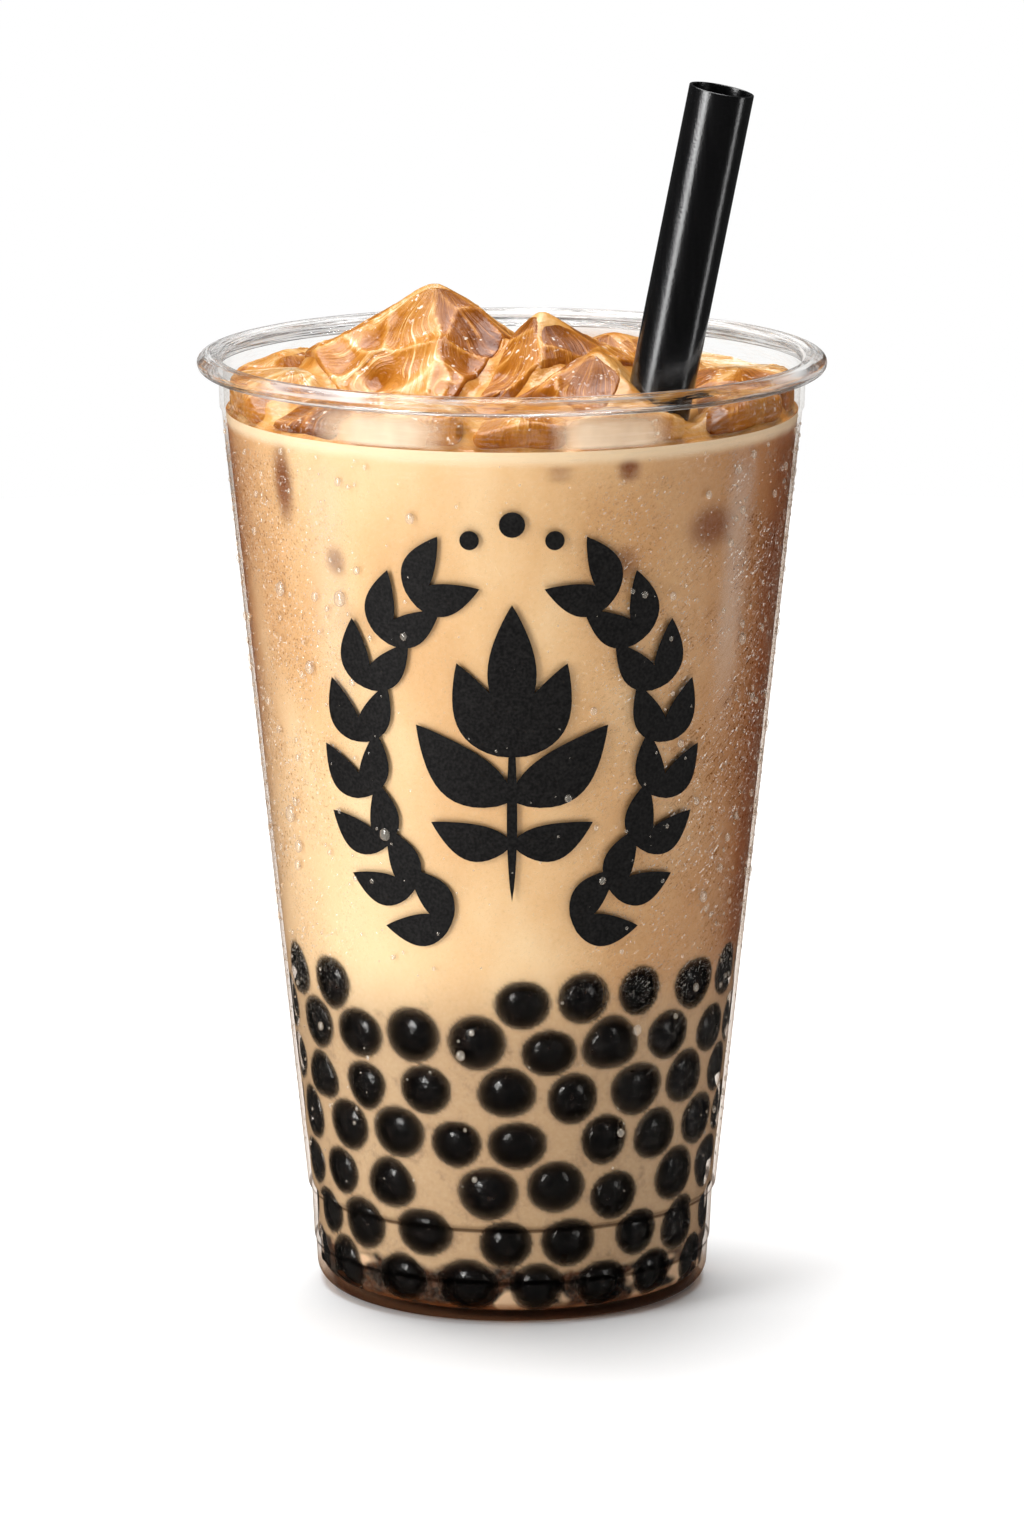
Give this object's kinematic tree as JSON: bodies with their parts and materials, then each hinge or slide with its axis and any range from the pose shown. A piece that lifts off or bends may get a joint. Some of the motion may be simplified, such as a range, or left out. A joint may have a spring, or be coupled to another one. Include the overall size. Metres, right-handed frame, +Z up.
{
  "type": "cup of bubble tea",
  "caption": "Tapered clear cup with a rolled rim, filled with milk tea over black tapioca pearls, with ice lumps at the top and a leaning wide straw.",
  "frame": {"origin": "middle of the cup's foot, on the surface that the cup stands on", "axes": "+Z up along the cup's axis; the print faces -Y; the straw leans towards +X"},
  "size_m": [0.098, 0.098, 0.1932],
  "materials": {
    "clear_cup": "clear PET plastic, glossy, fogged with fine drops",
    "milk_tea": "opaque creamy liquid, wet gloss",
    "black_pearls": "soft glossy cooked tapioca",
    "tea_washed_ice": "wet ice washed with tea, amber, glossy",
    "black_straw": "black polypropylene, satin gloss",
    "black_print": "matt black screen print"
  },
  "bodies": {
    "root": {"cup": "clear_cup", "tea": "milk_tea", "pearls": "black_pearls", "straw": "black_straw", "ice_peak_left": "tea_washed_ice", "ice_peak_right": "tea_washed_ice", "ice_crest_straw": "tea_washed_ice", "ice_behind_peak": "tea_washed_ice", "ice_slab_right": "tea_washed_ice", "ice_slab_back": "tea_washed_ice", "ice_back": "tea_washed_ice", "ice_back_left": "tea_washed_ice", "ice_cube_left": "tea_washed_ice", "ice_block_left": "tea_washed_ice", "ice_shard_left": "tea_washed_ice", "ice_front_left": "tea_washed_ice", "ice_front": "tea_washed_ice", "ice_front_right": "tea_washed_ice", "ice_side_right": "tea_washed_ice"}
  },
  "joints": []
}
